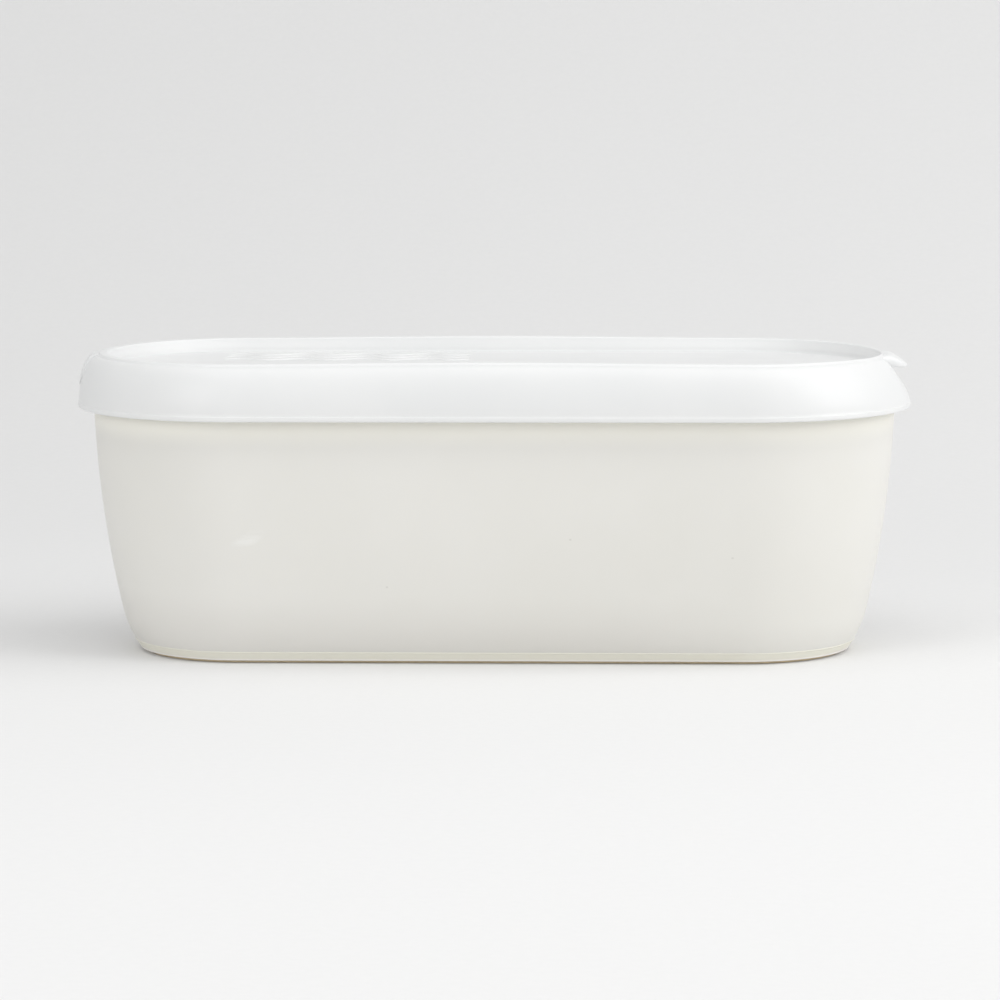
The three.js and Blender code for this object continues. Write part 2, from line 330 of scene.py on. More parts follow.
# %% The rule for the wall
def tree_with_inputs(name, sizes):
    """An empty Geometry Nodes tree with one named number for each size, and its links to them."""
    tree = bpy.data.node_groups.new(name, "GeometryNodeTree")
    tree.interface.new_socket("Geometry", in_out="INPUT", socket_type="NodeSocketGeometry")
    for key, value in sizes.items():
        kind = "NodeSocketInt" if isinstance(value, int) else "NodeSocketFloat"
        tree.interface.new_socket(key, in_out="INPUT", socket_type=kind)
    tree.interface.new_socket("Geometry", in_out="OUTPUT", socket_type="NodeSocketGeometry")
    return tree, node(tree, "NodeGroupInput").outputs


def finish_tree(tree, geometry, material):
    """Ends a tree in Realize Instances and Set Material."""
    realized = node(tree, "GeometryNodeRealizeInstances")
    feed(tree, realized.inputs["Geometry"], geometry)
    painted = node(tree, "GeometryNodeSetMaterial")
    feed(tree, painted.inputs["Geometry"], realized.outputs[0])
    painted.inputs["Material"].default_value = material
    feed(tree, node(tree, "NodeGroupOutput").inputs[0], painted.outputs[0])


def made_by(tree, sizes, name):
    """Runs a tree once with these sizes and returns the result as a plain mesh."""
    holder = bpy.data.objects.new(name + "_maker", bpy.data.meshes.new(name + "_seed"))
    bpy.context.scene.collection.objects.link(holder)
    modifier = holder.modifiers.new("rule", "NODES")
    modifier.node_group = tree
    for item in tree.interface.items_tree:
        if item.in_out == "INPUT" and item.name in sizes:
            modifier[item.identifier] = sizes[item.name]
    graph = bpy.context.evaluated_depsgraph_get()
    mesh = bpy.data.meshes.new_from_object(holder.evaluated_get(graph))
    mesh.name = name
    bpy.data.objects.remove(holder)
    return mesh


def arc_sag(tree, radius, run):
    """How far an arc has moved in after a run along its tangent."""
    squares = calc(tree, "SUBTRACT", calc(tree, "POWER", radius, 2), calc(tree, "POWER", run, 2))
    return calc(tree, "SUBTRACT", radius, calc(tree, "SQRT", squares))


def wall_tree(sizes):
    tree, given = tree_with_inputs("tub wall rule", sizes)
    ends, sides, levels = given["Columns round an end"], given["Columns along a side"], given["Levels"]
    both = calc(tree, "ADD", ends, sides)
    all_round = calc(tree, "MULTIPLY", both, 2)

    grid = node(tree, "GeometryNodeMeshGrid")
    feed(tree, grid.inputs["Vertices X"], calc(tree, "ADD", all_round, 1))
    feed(tree, grid.inputs["Vertices Y"], levels)
    index = node(tree, "GeometryNodeInputIndex").outputs[0]
    column = calc(tree, "FLOOR", calc(tree, "DIVIDE", calc(tree, "ADD", index, 0.5), levels))
    level = calc(tree, "SUBTRACT", index, calc(tree, "MULTIPLY", column, levels))

    top_level = calc(tree, "SUBTRACT", levels, 2)
    share = calc(tree, "POWER", remap(tree, level, 1, top_level), given["Crowding"])
    height = remap(tree, share, 0, 1, given["Bottom"], given["Top"])
    drop = calc(tree, "SUBTRACT", given["Rim height"], height)
    into_heel = calc(tree, "MAXIMUM", calc(tree, "SUBTRACT", given["Heel height"], height), 0)
    wall = calc(tree, "SUBTRACT", given["Rim distance"], arc_sag(tree, given["Wall arc"], drop))
    wall = calc(tree, "SUBTRACT", wall, arc_sag(tree, given["Heel radius"], into_heel))
    rim_line = calc(tree, "MULTIPLY_ADD", drop, given["Rim slope"], given["Rim edge distance"])
    on_wall = calc(tree, "MULTIPLY", calc(tree, "GREATER_THAN", level, 0.5),
                   calc(tree, "LESS_THAN", level, calc(tree, "ADD", top_level, 0.5)))
    distance = calc(tree, "MULTIPLY", calc(tree, "MINIMUM", wall, rim_line), on_wall)

    half = math.pi / 2
    spine = given["Spine half length"]
    left_end = calc(tree, "ADD", both, ends)
    bearing = calc(tree, "ADD", remap(tree, column, 0, ends, -half, half),
                   remap(tree, column, both, left_end, 0, math.pi))
    centre = calc(tree, "ADD", remap(tree, column, ends, both, spine, calc(tree, "MULTIPLY", spine, -1)),
                  remap(tree, column, left_end, all_round, 0, calc(tree, "MULTIPLY", spine, 2)))
    spot_on_plan = node(tree, "ShaderNodeCombineXYZ")
    across = calc(tree, "MULTIPLY_ADD", distance, calc(tree, "COSINE", bearing), centre)
    feed(tree, spot_on_plan.inputs["X"], across)
    feed(tree, spot_on_plan.inputs["Y"], calc(tree, "MULTIPLY", distance, calc(tree, "SINE", bearing)))
    feed(tree, spot_on_plan.inputs["Z"], height)

    placed = node(tree, "GeometryNodeSetPosition")
    feed(tree, placed.inputs["Geometry"], grid.outputs["Mesh"])
    feed(tree, placed.inputs["Position"], spot_on_plan.outputs[0])
    merged = node(tree, "GeometryNodeMergeByDistance")
    feed(tree, merged.inputs["Geometry"], placed.outputs[0])
    feed(tree, merged.inputs["Distance"], DOUBLES_MM * MM)
    finish_tree(tree, merged.outputs[0], TUB_MATERIAL)
    return tree


# %% Make the tub
RIM_DISTANCE = 53
RIM_HEIGHT = 97.4
WALL_ARC = 372
HEEL_HEIGHT = 14.3
HEEL_RADIUS = 34
FOOT_HEIGHT = 4
GAP = 0.3
UNDERSIDE_EDGE = 48.2
BEVEL_DROP = 5.4

WALL_SIZES = {
    "Columns round an end": END_COLUMNS,
    "Columns along a side": 12,
    "Levels": 84,
    "Crowding": 1.25,
    "Spine half length": SPINE_HALF * MM,
    "Bottom": (FOOT_HEIGHT + GAP) * MM,
    "Top": RIM_HEIGHT * MM,
    "Rim distance": RIM_DISTANCE * MM,
    "Rim height": RIM_HEIGHT * MM,
    "Wall arc": WALL_ARC * MM,
    "Heel height": HEEL_HEIGHT * MM,
    "Heel radius": HEEL_RADIUS * MM,
    "Rim edge distance": (UNDERSIDE_EDGE - GAP) * MM,
    "Rim slope": (RIM_DISTANCE + GAP - UNDERSIDE_EDGE) / BEVEL_DROP,
}
tub = piece_from(made_by(wall_tree(WALL_SIZES), WALL_SIZES, "tub_wall"), "tub_wall")
print("tub faces:", len(tub.data.polygons))

# %% [markdown]
# The foot is a thin base of a warmer plastic. It carries on the heel's curve, and an inset pad
# under it meets the table, which leaves the dark line that the photograph shows under the tub.
# Its upper edge stands a hair proud of the wall and is rounded, so it catches a thin line of
# light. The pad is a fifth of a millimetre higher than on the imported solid, which brings the dark
# line closer to its thickness in the photograph. The foot is made in mesh code from one section,
# because every edge has its own rounding.

# %% Foot section
PAD_HEIGHT = 1.0
PAD_INSET = 2
PAD_EDGE, PAD_EDGE_RISE = 0.3, 0.15
FOOT_EDGE = 0.5
FOOT_WALL_STEPS = 8
BEAD = 0.3
BEAD_IN, BEAD_UP = 0.05, 0.15
FOOT_TOP_INSET, FOOT_TOP_EDGE, FOOT_TOP = 0.4, 0.28, 0.25


def outside(height):
    """Distance of the outside of tub and foot from the spine at a height, in mm."""
    def sag(radius, run):
        return radius - math.sqrt(radius * radius - run * run)
    wall = RIM_DISTANCE - sag(WALL_ARC, RIM_HEIGHT - height)
    return wall - sag(HEEL_RADIUS, max(0, HEEL_HEIGHT - height))


def foot_section(centre, bearing):
    """The same section at every column."""
    pad = outside(PAD_HEIGHT) - PAD_INSET
    edge = PAD_HEIGHT + FOOT_EDGE
    section = [(0, 0), (pad - PAD_EDGE, 0), (pad, PAD_EDGE_RISE), (pad, PAD_HEIGHT)]
    section += arc((outside(edge) - FOOT_EDGE, edge), FOOT_EDGE, -90, 0, 6)
    for i in range(1, FOOT_WALL_STEPS + 1):
        height = edge + (FOOT_HEIGHT - BEAD - edge) * i / FOOT_WALL_STEPS
        section.append((outside(height), height))
    top = outside(FOOT_HEIGHT)
    section += arc((top - BEAD_IN, FOOT_HEIGHT + BEAD_UP), BEAD, -50, 100, 8)
    section.append((top - FOOT_TOP_INSET, FOOT_HEIGHT + FOOT_TOP_EDGE))
    return section + [(0, FOOT_HEIGHT + FOOT_TOP)]


FOOT_LIGHT = (0.84, 0.825, 0.735, 1)
FOOT_SHADE = (0.81, 0.795, 0.70, 1)
# A painted highlight along the lower rounded edge of the foot.
FOOT_PAINTED_LIGHT_EDGE = (0.96, 0.93, 0.90, 1)
PAINTED_LIGHT_DOWN = (2.0, 1.2)
# A painted warm shade at the very bottom, a warm tint for the contact shadow where the foot meets the
# floor.
FOOT_PAINTED_WARM_SHADE = (0.86, 0.72, 0.48, 1)
PAINTED_WARM_SHADE_DOWN = (0.85, 0.6)


def foot_finish():
    material, tree, shader = new_finish(
        "foot_warm_plastic",
        Roughness=0.5,
        IOR=1.46,
        Subsurface_Weight=0.1,
        Subsurface_Scale=0.003,
        Subsurface_Radius=(1, 0.95, 0.85),
    )
    coordinates = place(tree)
    parts = parts_of(tree, coordinates)
    cloud = noise(tree, coordinates, 30, 3)
    colour = blend(tree, cloud, FOOT_LIGHT, FOOT_SHADE)
    # Painted highlight on the foot's lower edge.
    colour = blend(tree, fade(tree, parts["Z"], PAINTED_LIGHT_DOWN), colour, FOOT_PAINTED_LIGHT_EDGE)
    # Painted warm shade where the foot meets the floor.
    colour = blend(tree, fade(tree, parts["Z"], PAINTED_WARM_SHADE_DOWN), colour, FOOT_PAINTED_WARM_SHADE)
    feed(tree, shader.inputs["Base Color"], colour)
    scuff = remap(tree, noise(tree, coordinates, 6, 4, (1, 1, 3)), 0.4, 0.7, 0.42, 0.6)
    feed(tree, shader.inputs["Roughness"], scuff)
    grain = noise(tree, coordinates, 0.9, 2)
    feed(tree, shader.inputs["Normal"], bump(tree, grain, 0.015, 0.5))
    return material


foot = piece_from(racetrack_mesh("foot_base", foot_section), "foot_base")
foot.data.materials.append(foot_finish())
print("foot reaches, mm:", round(outside(FOOT_HEIGHT) + SPINE_HALF, 1))

# %% [markdown]
# The lid is soft and moulded in one piece. From the lower edge up it has a thin lip, a skirt that
# rounds over into a broad shoulder, a narrow raised crest, a short inner wall and a sunk panel.
# The shoulder is a superellipse: upright at the lip, level at the crest, and with one power that
# says how full it is between them. It turns leaner round the end with the raised tab, and right
# under that tab it starts lower as well, which leaves a hollow for a finger. A soft ramp joins it
# to the crest. Along the tub the crest bows up a little in the middle and dips at the ends. The
# section changes smoothly from column to column.

# %% Lid sizes
SKIRT_DISTANCE = 58.4
SKIRT_BOTTOM = 85.5
SKIRT_WALL = 1.7
SKIRT_EDGE_ROUND = 0.5
LIP_HEIGHT = 1.8
LIP_STEP = 0.25
LIP_TOP_DROP, LIP_TOP_ROUND = 0.3, 0.2
CREST_TOP = 104.35
CREST_ROUND = 0.7
CREST_RAMP = 1.2
CREST_RAMP_STEPS = 8
CROWN = 0.65
CROWN_HALF = 95
CREST_INNER = 47.7
PANEL_EDGE = 46.2
PANEL_TOP = 99.7
PANEL_FILLET = 1.1
PANEL_WALL_STEPS = 4
PANEL_FLAT_FROM, PANEL_MIDDLE = 0.4, 20
UNDERSIDE = RIM_HEIGHT + GAP
GRIP_DROP = 3.4
GRIP_STEP, GRIP_EDGE = 1, 0.4
SHOULDER_DROP = 0.9
FULL = {"distance": 51.6, "power": 1.75}
LEAN = {"distance": 49.9, "power": 1.4}
LEAN_FROM, LEAN_TO = 92, 134
HOLLOW_DROP = 5.1
HOLLOW_FROM, HOLLOW_TO = math.radians(6), math.radians(17)
DIP_FROM, DIP_TO = 112, 137
RIGHT_DIP, LEFT_DIP = 0.45, 0.2


def smooth_share(value, low, high):
    share = min(1, max(0, (value - low) / (high - low)))
    return share * share * (3 - 2 * share)


def crest_height(x):
    """Height of the crest at a place along the tub."""
    crown = CROWN * (1 + math.cos(math.pi * min(abs(x), CROWN_HALF) / CROWN_HALF)) / 2
    dip = (RIGHT_DIP if x > 0 else LEFT_DIP) * smooth_share(abs(x), DIP_FROM, DIP_TO)
    return CREST_TOP + crown - dip


def shoulder_distance(crest, height, distance, power, drop=SHOULDER_DROP, grow=0):
    """Distance of the shoulder from the spine at a height."""
    wall = SKIRT_DISTANCE - LIP_STEP + grow
    low = SKIRT_BOTTOM + LIP_HEIGHT
    up = min(1, (height - low) / (crest - drop + grow - low))
    inner = distance + grow
    return inner + (wall - inner) * (1 - up ** power) ** (1 / power)


# %% Lid section
SHOULDER_LEVELS = 26


def lid_form(centre, bearing):
    """Which shoulder the lid has at a column."""
    share = smooth_share(centre + RIM_DISTANCE * math.cos(bearing), LEAN_FROM, LEAN_TO)
    form = {key: FULL[key] + (LEAN[key] - FULL[key]) * share for key in FULL}
    beside = smooth_share(abs(bearing), HOLLOW_FROM, HOLLOW_TO)
    form["drop"] = HOLLOW_DROP + (SHOULDER_DROP - HOLLOW_DROP) * beside
    return form


def underside_section():
    grip = UNDERSIDE - BEVEL_DROP
    inner = SKIRT_DISTANCE - SKIRT_WALL
    section = [(0, UNDERSIDE), (UNDERSIDE_EDGE, UNDERSIDE), (RIM_DISTANCE + GAP, grip)]
    section.append((RIM_DISTANCE + 2 * GAP, grip - GRIP_STEP))
    section.append((inner - GRIP_EDGE, grip - GRIP_DROP + GRIP_EDGE))
    section += [(inner, grip - GRIP_DROP), (inner, SKIRT_BOTTOM + SKIRT_EDGE_ROUND)]
    round_middle = (inner + SKIRT_EDGE_ROUND, SKIRT_BOTTOM + SKIRT_EDGE_ROUND)
    return section + arc(round_middle, SKIRT_EDGE_ROUND, 180, 270, 4)


def lip_section():
    low = SKIRT_BOTTOM + SKIRT_EDGE_ROUND
    high = SKIRT_BOTTOM + LIP_HEIGHT - LIP_TOP_DROP
    section = arc((SKIRT_DISTANCE - SKIRT_EDGE_ROUND, low), SKIRT_EDGE_ROUND, -90, 0, 5)
    return section + arc((SKIRT_DISTANCE - LIP_TOP_ROUND, high), LIP_TOP_ROUND, 0, 80, 3)


def crest_section(form, crest):
    """A soft ramp from the shoulder up to the crest, the crest, its inner wall and the panel."""
    section = []
    for i in range(1, CREST_RAMP_STEPS + 1):
        height = crest - form["drop"] * (1 - smooth_share(i, 0, CREST_RAMP_STEPS))
        section.append((form["distance"] - CREST_RAMP * i / CREST_RAMP_STEPS, height))
    r = CREST_ROUND
    section += arc((CREST_INNER + r, crest - r), r, 90, 180, 6)
    foot_of_wall = PANEL_TOP + PANEL_FILLET
    for i in range(1, PANEL_WALL_STEPS):
        share = i / PANEL_WALL_STEPS
        section.append((CREST_INNER + (PANEL_EDGE - CREST_INNER) * share,
                        crest - r + (foot_of_wall - crest + r) * share))
    flat = PANEL_EDGE - PANEL_FILLET
    section += arc((flat, foot_of_wall), PANEL_FILLET, 0, -90, 6)
    for distance in (flat - PANEL_FLAT_FROM, PANEL_MIDDLE, 0):
        section.append((distance, PANEL_TOP))
    return section


def lid_section(centre, bearing):
    form = lid_form(centre, bearing)
    crest = crest_height(centre + CREST_INNER * math.cos(bearing))
    low = SKIRT_BOTTOM + LIP_HEIGHT
    high = crest - form["drop"]
    shoulder = []
    for i in range(SHOULDER_LEVELS + 1):
        height = low + (high - low) * math.sin(math.pi / 2 * i / SHOULDER_LEVELS)
        shoulder.append((shoulder_distance(crest, height, **form), height))
    return underside_section() + lip_section() + shoulder + crest_section(form, crest)


lid_mesh = racetrack_mesh("lid", lid_section)

# %% [markdown]
# Two pull tabs belong to the lid. The one on the right sticks out level with the crest and slopes
# down to a rounded tip. The one on the left is the same strip folded down, so it lies on the
# shoulder and stands proud of it by less than a millimetre. Both are closed shells that run a
# little into the lid, so that a Boolean can join them to it.

# %% Raised tab
TAB_HALF_WIDTH = 9.3
TAB_ROOT = SPINE_HALF + CREST_INNER + CREST_ROUND
TAB_ROOT_SPREAD = 2.9
TAB_ROOT_LENGTH = 6
TAB_TIP = 143.7
TAB_TIP_ROUND = 4.8
TAB_TOP_LINE = (
    (TAB_ROOT, CREST_TOP - 0.7),
    (TAB_ROOT + 2.1, CREST_TOP - 0.6),
    (TAB_ROOT + 3.6, CREST_TOP - 1.0),
    (TAB_ROOT + 5.2, CREST_TOP - 2),
    (TAB_TIP - 0.4, CREST_TOP - 4.1),
    (TAB_TIP, CREST_TOP - 4.6),
)
TAB_LOW_LINE = (
    (TAB_ROOT, CREST_TOP - HOLLOW_DROP),
    (TAB_TIP - 0.4, CREST_TOP - HOLLOW_DROP),
    (TAB_TIP, CREST_TOP - 4.75),
)
TAB_SIDE_ROUND, TAB_ROOT_ROUND, TAB_FACE_ROUND = 0.22, 0.25, 0.35
TAB_SECTION_POINTS = 28
TAB_STATIONS = 40


def between_points(points, x):
    """Height of a broken line at x."""
    for (x0, z0), (x1, z1) in zip(points, points[1:]):
        if x <= x1:
            return z0 + (z1 - z0) * (x - x0) / (x1 - x0)
    return points[-1][1]


def near_root(x):
    """1 at the crest, falling to 0 where the tab's sides run straight."""
    return max(0, 1 - (x - TAB_ROOT) / TAB_ROOT_LENGTH)


def tab_half_width(x):
    """Wider where the tab leaves the crest, and half round at the tip."""
    into_tip = max(0, (x - TAB_TIP) / TAB_TIP_ROUND + 1)
    tip = math.sqrt(max(0.00001, 1 - into_tip ** 2))
    return (TAB_HALF_WIDTH + TAB_ROOT_SPREAD * near_root(x) ** 2) * tip


def raised_tab():
    """Rounded sections from the crest to the tip. The first of them follow the crest's curve."""
    work = bmesh.new()
    rings = []
    for i in range(TAB_STATIONS + 1):
        x = TAB_ROOT + (TAB_TIP - TAB_ROOT) * math.sin(math.pi / 2 * i / TAB_STATIONS)
        half_width = tab_half_width(x)
        side_round = TAB_SIDE_ROUND + TAB_ROOT_ROUND * near_root(x)
        top, low = between_points(TAB_TOP_LINE, x), between_points(TAB_LOW_LINE, x)
        middle, half_thick = (top + low) / 2, (top - low) / 2
        ring = []
        for k in range(TAB_SECTION_POINTS):
            angle = 2 * math.pi * k / TAB_SECTION_POINTS
            cos, sin = math.cos(angle), math.sin(angle)
            y = half_width * math.copysign(abs(cos) ** side_round, cos)
            z = middle + half_thick * math.copysign(abs(sin) ** TAB_FACE_ROUND, sin)
            follows_crest = near_root(x) * (LEAN["distance"] - math.hypot(LEAN["distance"], y))
            ring.append(work.verts.new(((x + follows_crest) * MM, y * MM, z * MM)))
        rings.append(ring)
    for here, there in zip(rings, rings[1:]):
        for k in range(TAB_SECTION_POINTS):
            after = (k + 1) % TAB_SECTION_POINTS
            work.faces.new((here[k], here[after], there[after], there[k]))
    work.faces.new(list(reversed(rings[0])))
    work.faces.new(rings[-1])
    bmesh.ops.recalc_face_normals(work, faces=work.faces)
    return closed_mesh(work, "raised_tab")


raised_mesh = raised_tab()

# %% Folded tab
FOLDED_TAB_WALL = 0.8
FOLDED_TAB_TOP = 103.7
FOLDED_TAB_BOTTOM = 92.6
FOLDED_TAB_EDGE = 0.35
FOLDED_TAB_SUNK = 0.6
FOLDED_ROUND_STEEPNESS, FOLDED_ROUND_POWER = 1.3, 0.4
FOLDED_ACROSS = 36
FOLDED_DOWN = 24


def folded_tab():
    """The strip's outer face, its inner face sunk into the skirt, and the rim between them."""
    work = bmesh.new()
    faces = {}
    crest = crest_height(-SPINE_HALF - CREST_INNER)
    for face in ("outer", "inner"):
        grid = []
        for j in range(FOLDED_ACROSS + 1):
            turn = math.pi * (j / FOLDED_ACROSS - 0.5)
            y = TAB_HALF_WIDTH * math.sin(turn)
            end = FOLDED_TAB_BOTTOM + TAB_TIP_ROUND * (1 - math.cos(turn))
            line = []
            for i in range(FOLDED_DOWN + 1):
                height = FOLDED_TAB_TOP + (end - FOLDED_TAB_TOP) * i / FOLDED_DOWN
                from_end = FOLDED_ROUND_STEEPNESS * (1 - i / FOLDED_DOWN)
                inwards = min(math.cos(turn), from_end, 1) ** FOLDED_ROUND_POWER
                grow = FOLDED_TAB_EDGE + (FOLDED_TAB_WALL - FOLDED_TAB_EDGE) * inwards
                if face == "inner":
                    grow = -FOLDED_TAB_SUNK
                distance = shoulder_distance(crest, height + min(grow, 0), **FULL, grow=grow)
                x = -SPINE_HALF - math.sqrt(distance * distance - y * y)
                line.append(work.verts.new((x * MM, y * MM, height * MM)))
            grid.append(line)
        faces[face] = grid
    outer, inner = faces["outer"], faces["inner"]
    for j in range(FOLDED_ACROSS):
        for i in range(FOLDED_DOWN):
            work.faces.new((outer[j][i], outer[j + 1][i], outer[j + 1][i + 1], outer[j][i + 1]))
            work.faces.new((inner[j][i], inner[j][i + 1], inner[j + 1][i + 1], inner[j + 1][i]))
    for j in range(FOLDED_ACROSS):
        work.faces.new((outer[j][0], inner[j][0], inner[j + 1][0], outer[j + 1][0]))
        work.faces.new((outer[j][-1], outer[j + 1][-1], inner[j + 1][-1], inner[j][-1]))
    for i in range(FOLDED_DOWN):
        work.faces.new((outer[0][i], outer[0][i + 1], inner[0][i + 1], inner[0][i]))
        work.faces.new((outer[-1][i], inner[-1][i], inner[-1][i + 1], outer[-1][i + 1]))
    bmesh.ops.recalc_face_normals(work, faces=work.faces)
    return closed_mesh(work, "folded_tab")


folded_mesh = folded_tab()

# %% [markdown]
# The lid's plastic is softer than the tub's: whiter, a little cooler, and with a silky skin that
# lets light in a short way. It has a very fine grain and slow changes of gloss where hands have
# pressed it. The change in gloss goes through the roughness, and the colour hardly moves.


# %% Lid plastic
LID_LIGHT = (0.772, 0.777, 0.777, 1)
LID_SHADE = (0.752, 0.759, 0.76, 1)


def lid_finish():
    material, tree, shader = new_finish(
        "lid_soft_plastic",
        Roughness=0.34,
        IOR=1.45,
        Specular_IOR_Level=0.35,
        Subsurface_Weight=0.25,
        Subsurface_Scale=0.004,
        Subsurface_Radius=(1, 1, 1),
    )
    coordinates = place(tree)
    cloud = remap(tree, noise(tree, coordinates, 45, 3), 0.35, 0.65)
    feed(tree, shader.inputs["Base Color"], blend(tree, cloud, LID_LIGHT, LID_SHADE))
    handled = remap(tree, noise(tree, coordinates, 18, 4), 0.3, 0.7, 0.29, 0.38)
    feed(tree, shader.inputs["Roughness"], handled)
    grain = noise(tree, coordinates, 0.7, 2)
    feed(tree, shader.inputs["Normal"], bump(tree, grain, 0.01, 0.5))
    return material


LID_MATERIAL = lid_finish()

# %% [markdown]
# Three low ripples are moulded on the panel, towards its left and back. They repeat and follow a
# path, so Geometry Nodes make them: a line is bent into waves, an oval section is swept along it
# with its ends drawn in, and copies are set side by side.


# %% Ripples
def ripple_tree(sizes):
    tree, given = tree_with_inputs("ripple rule", sizes)
    line = node(tree, "GeometryNodeCurvePrimitiveLine")
    start = node(tree, "ShaderNodeCombineXYZ")
    end = node(tree, "ShaderNodeCombineXYZ")
    for corner, reach in ((start, 0), (end, given["Length"])):
        feed(tree, corner.inputs["X"], calc(tree, "ADD", given["Start"], reach))
        feed(tree, corner.inputs["Y"], given["First row"])
        feed(tree, corner.inputs["Z"], given["Panel height"])
    feed(tree, line.inputs["Start"], start.outputs[0])
    feed(tree, line.inputs["End"], end.outputs[0])
    spaced = node(tree, "GeometryNodeResampleCurve")
    feed(tree, spaced.inputs["Curve"], line.outputs[0])
    feed(tree, spaced.inputs["Count"], given["Points"])

    along = node(tree, "GeometryNodeSplineParameter").outputs["Factor"]
    turns = calc(tree, "MULTIPLY", calc(tree, "MULTIPLY", along, given["Waves"]), 2 * math.pi)
    shift = node(tree, "ShaderNodeCombineXYZ")
    feed(tree, shift.inputs["Y"], calc(tree, "MULTIPLY", calc(tree, "SINE", turns), given["Swing"]))
    bent = node(tree, "GeometryNodeSetPosition")
    feed(tree, bent.inputs["Geometry"], spaced.outputs[0])
    feed(tree, bent.inputs["Offset"], shift.outputs[0])

    from_middle = calc(tree, "ABSOLUTE", calc(tree, "MULTIPLY_ADD", along, 2, -1))
    ends = calc(tree, "SQRT", calc(tree, "SUBTRACT", 1.02, calc(tree, "POWER", from_middle, 16)))
    drawn_in = node(tree, "GeometryNodeSetCurveRadius")
    feed(tree, drawn_in.inputs["Curve"], bent.outputs[0])
    feed(tree, drawn_in.inputs["Radius"], ends)

    circle = node(tree, "GeometryNodeCurvePrimitiveCircle")
    feed(tree, circle.inputs["Resolution"], 20)
    feed(tree, circle.inputs["Radius"], 1.0)
    oval = node(tree, "GeometryNodeTransform")
    feed(tree, oval.inputs["Geometry"], circle.outputs["Curve"])
    size = node(tree, "ShaderNodeCombineXYZ")
    feed(tree, size.inputs["X"], calc(tree, "DIVIDE", given["Width"], 2))
    feed(tree, size.inputs["Y"], given["Rise"])
    feed(tree, size.inputs["Z"], 1.0)
    feed(tree, oval.inputs["Scale"], size.outputs[0])

    swept = node(tree, "GeometryNodeCurveToMesh")
    feed(tree, swept.inputs["Curve"], drawn_in.outputs[0])
    feed(tree, swept.inputs["Profile Curve"], oval.outputs[0])
    feed(tree, swept.inputs["Fill Caps"], True)
    feed(tree, swept.inputs["Scale"], node(tree, "GeometryNodeInputRadius").outputs[0])

    rows = node(tree, "GeometryNodeMeshLine")
    step = node(tree, "ShaderNodeCombineXYZ")
    feed(tree, step.inputs["Y"], given["Pitch"])
    feed(tree, rows.inputs["Count"], given["Rows"])
    feed(tree, rows.inputs["Offset"], step.outputs[0])
    copies = node(tree, "GeometryNodeInstanceOnPoints")
    feed(tree, copies.inputs["Points"], rows.outputs[0])
    feed(tree, copies.inputs["Instance"], swept.outputs[0])
    finish_tree(tree, copies.outputs[0], LID_MATERIAL)
    return tree


RIPPLE_SIZES = {
    "Rows": 3,
    "Points": 140,
    "Start": -96 * MM,
    "Length": 87 * MM,
    "First row": 16 * MM,
    "Pitch": 9 * MM,
    "Panel height": PANEL_TOP * MM,
    "Waves": 4.0,
    "Swing": 2.2 * MM,
    "Width": 2.4 * MM,
    "Rise": 0.5 * MM,
}
ripple_mesh = made_by(ripple_tree(RIPPLE_SIZES), RIPPLE_SIZES, "ripples")
print("ripple faces:", len(ripple_mesh.polygons))

# %% [markdown]
# The lid is one piece, so the tabs and the ripples are joined to it with Boolean unions. The
# Manifold solver is quick and keeps a closed mesh closed. The modifiers are used up at once,
# and only the plain mesh is kept.


# %% Join the lid
def joined(name, main_mesh, *added):
    main = bpy.data.objects.new(name, main_mesh)
    bpy.context.scene.collection.objects.link(main)
    helpers = []
    for mesh in added:
        helper = bpy.data.objects.new(mesh.name + "_helper", mesh)
        bpy.context.scene.collection.objects.link(helper)
        union = main.modifiers.new(mesh.name, "BOOLEAN")
        union.operation = "UNION"
        union.solver = "MANIFOLD"
        union.object = helper
        helpers.append(helper)
    graph = bpy.context.evaluated_depsgraph_get()
    result = bpy.data.meshes.new_from_object(main.evaluated_get(graph))
    for used in [main, *helpers]:
        bpy.data.objects.remove(used)
    result.materials.clear()
    result.materials.append(LID_MATERIAL)
    return piece_from(result, name)


lid = joined("lid_soft", lid_mesh, raised_mesh, folded_mesh, ripple_mesh)
print("lid faces:", len(lid.data.polygons))

# %% [markdown]
# Each finished piece says what it rides on, and the imported node that it stands for is hidden.
# All three ride on the one body, because nothing here moves on a joint.

# %% Hand the pieces over
for piece, stands_for in ((tub, "tub"), (foot, "foot"), (lid, "lid")):
    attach(piece, "root")
    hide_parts(stands_for)

# %% [markdown]
# The tub stands on a plain pale floor that curves up behind it, as in a photographer's studio. A
# sweep has no corner, so the floor fades into the background without a line.

# %% Floor
FLOOR_FRONT = -2.6
FLOOR_HALF = 3.0
SWEEP_START = 0.3
SWEEP_RADIUS = 1.0
WALL_TOP = 2.4
PAPER_LIGHT = (0.80, 0.80, 0.80, 1)
PAPER_SHADE = (0.79, 0.79, 0.79, 1)


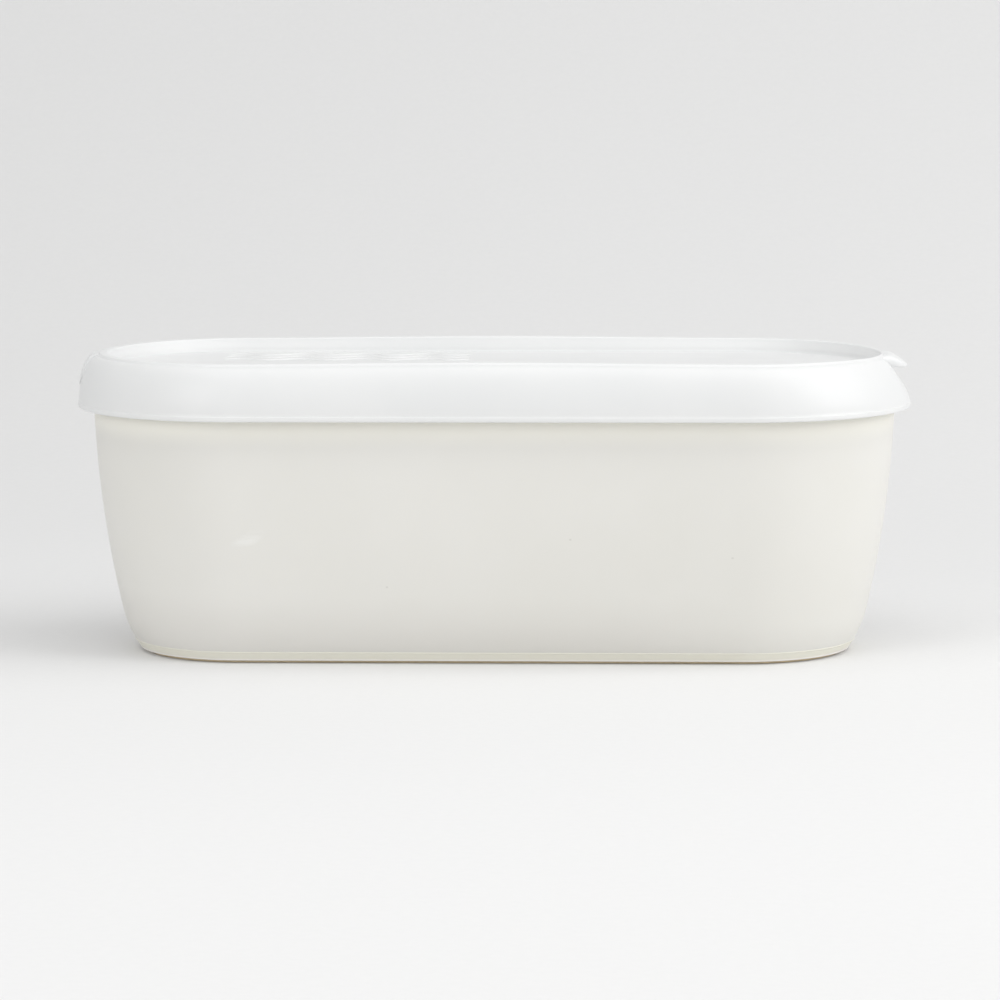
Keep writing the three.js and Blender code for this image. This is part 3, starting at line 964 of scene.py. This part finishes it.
def floor_sweep():
    outline = [(FLOOR_FRONT, 0.0), (SWEEP_START - 0.01, 0.0)]
    outline += arc((SWEEP_START, SWEEP_RADIUS), SWEEP_RADIUS, -90, 0, 32)
    outline.append((SWEEP_START + SWEEP_RADIUS, WALL_TOP))
    work = bmesh.new()
    rows = [[work.verts.new((side * FLOOR_HALF, y, z)) for y, z in outline] for side in (-1, 1)]
    for i in range(len(outline) - 1):
        work.faces.new((rows[0][i], rows[1][i], rows[1][i + 1], rows[0][i + 1]))
    mesh = bpy.data.meshes.new("floor")
    work.to_mesh(mesh)
    work.free()
    floor = piece_from(mesh, "floor")
    material, tree, shader = new_finish("floor_paper", Roughness=0.9)
    fibre = remap(tree, noise(tree, place(tree), 3, 3), 0.3, 0.7)
    feed(tree, shader.inputs["Base Color"], blend(tree, fibre, PAPER_LIGHT, PAPER_SHADE))
    floor.data.materials.append(material)
    return floor


floor_sweep()

# %% [markdown]
# The light is soft and mostly from the right. One large lamp stands to the right, and a smaller
# one, lower and more to the front, brightens the right end of the lid. Together they throw a soft
# shadow to the left. A wide lamp overhead lights the lid and the floor, a small one at the front
# left keeps the left end from going grey, and an even pale world fills the shadows.

# %% Light
scene = bpy.context.scene
scene.view_settings.view_transform = "Standard"
WORLD_COLOUR = (1.0, 1.0, 0.995, 1)
WORLD_STRENGTH = 0.64
TUB_MIDDLE = (0, 0, 0.05)


def soft_lamp(name, place_m, size_m, power, aim_m=TUB_MIDDLE):
    lamp = bpy.data.lights.new(name, "AREA")
    lamp.shape = "RECTANGLE"
    lamp.size, lamp.size_y = size_m
    lamp.energy = power
    holder = bpy.data.objects.new(name, lamp)
    holder.location = place_m
    holder.rotation_euler = (Vector(aim_m) - Vector(place_m)).to_track_quat("-Z", "Y").to_euler()
    scene.collection.objects.link(holder)


soft_lamp("key_right", place_m=(1.25, -0.3, 0.95), size_m=(1.2, 1.4), power=8.4)
soft_lamp("key_front", place_m=(1.1, -0.6, 0.6), size_m=(0.5, 0.5), power=1.85)
soft_lamp("overhead", place_m=(0, -0.35, 1.1), size_m=(1.2, 0.8), power=3.4, aim_m=(0, 0, 0))
soft_lamp("front_left", place_m=(-0.8, -1.1, 0.6), size_m=(0.6, 0.6), power=3.2)

world = bpy.data.worlds.new("studio")
world.use_nodes = True
background = world.node_tree.nodes["Background"]
background.inputs["Color"].default_value = WORLD_COLOUR
background.inputs["Strength"].default_value = WORLD_STRENGTH
scene.world = world
print("lamps:", len(bpy.data.lights))

# %% [markdown]
# The camera stands about a metre and a half away with a long lens, a little above the tub and a
# touch to the right. It is placed from its aim, its height angle and its turn, so that each can
# be read and changed on its own.

# %% Camera
CAMERA_AIM = Vector((0.00216, 0, 0.05187))
CAMERA_DISTANCE = 1.5
CAMERA_UP_ANGLE = 0.1285
CAMERA_TURN = -0.0339
CAMERA_ROLL = -0.0027
FOCAL_PIXELS = 4288
PICTURE_PIXELS = 1000
SENSOR_WIDTH_MM = 36


def studio_camera():
    turn = CAMERA_TURN
    level, down = math.cos(CAMERA_UP_ANGLE), math.sin(CAMERA_UP_ANGLE)
    look = Vector((math.sin(turn) * level, math.cos(turn) * level, -down))
    right = Vector((math.cos(turn), -math.sin(turn), 0))
    up = right.cross(look)
    data = bpy.data.cameras.new("camera")
    data.sensor_width = SENSOR_WIDTH_MM
    data.lens = FOCAL_PIXELS * SENSOR_WIDTH_MM / PICTURE_PIXELS
    data.clip_end = 20
    camera = bpy.data.objects.new("camera", data)
    facing = Matrix((right, up, -look)).transposed().to_4x4()
    camera.matrix_world = Matrix.Translation(CAMERA_AIM - look * CAMERA_DISTANCE) @ facing
    camera.matrix_world = camera.matrix_world @ Matrix.Rotation(CAMERA_ROLL, 4, "Z")
    scene.collection.objects.link(camera)
    return camera


scene.camera = studio_camera()
print("camera at, m:", [round(v, 3) for v in scene.camera.location])
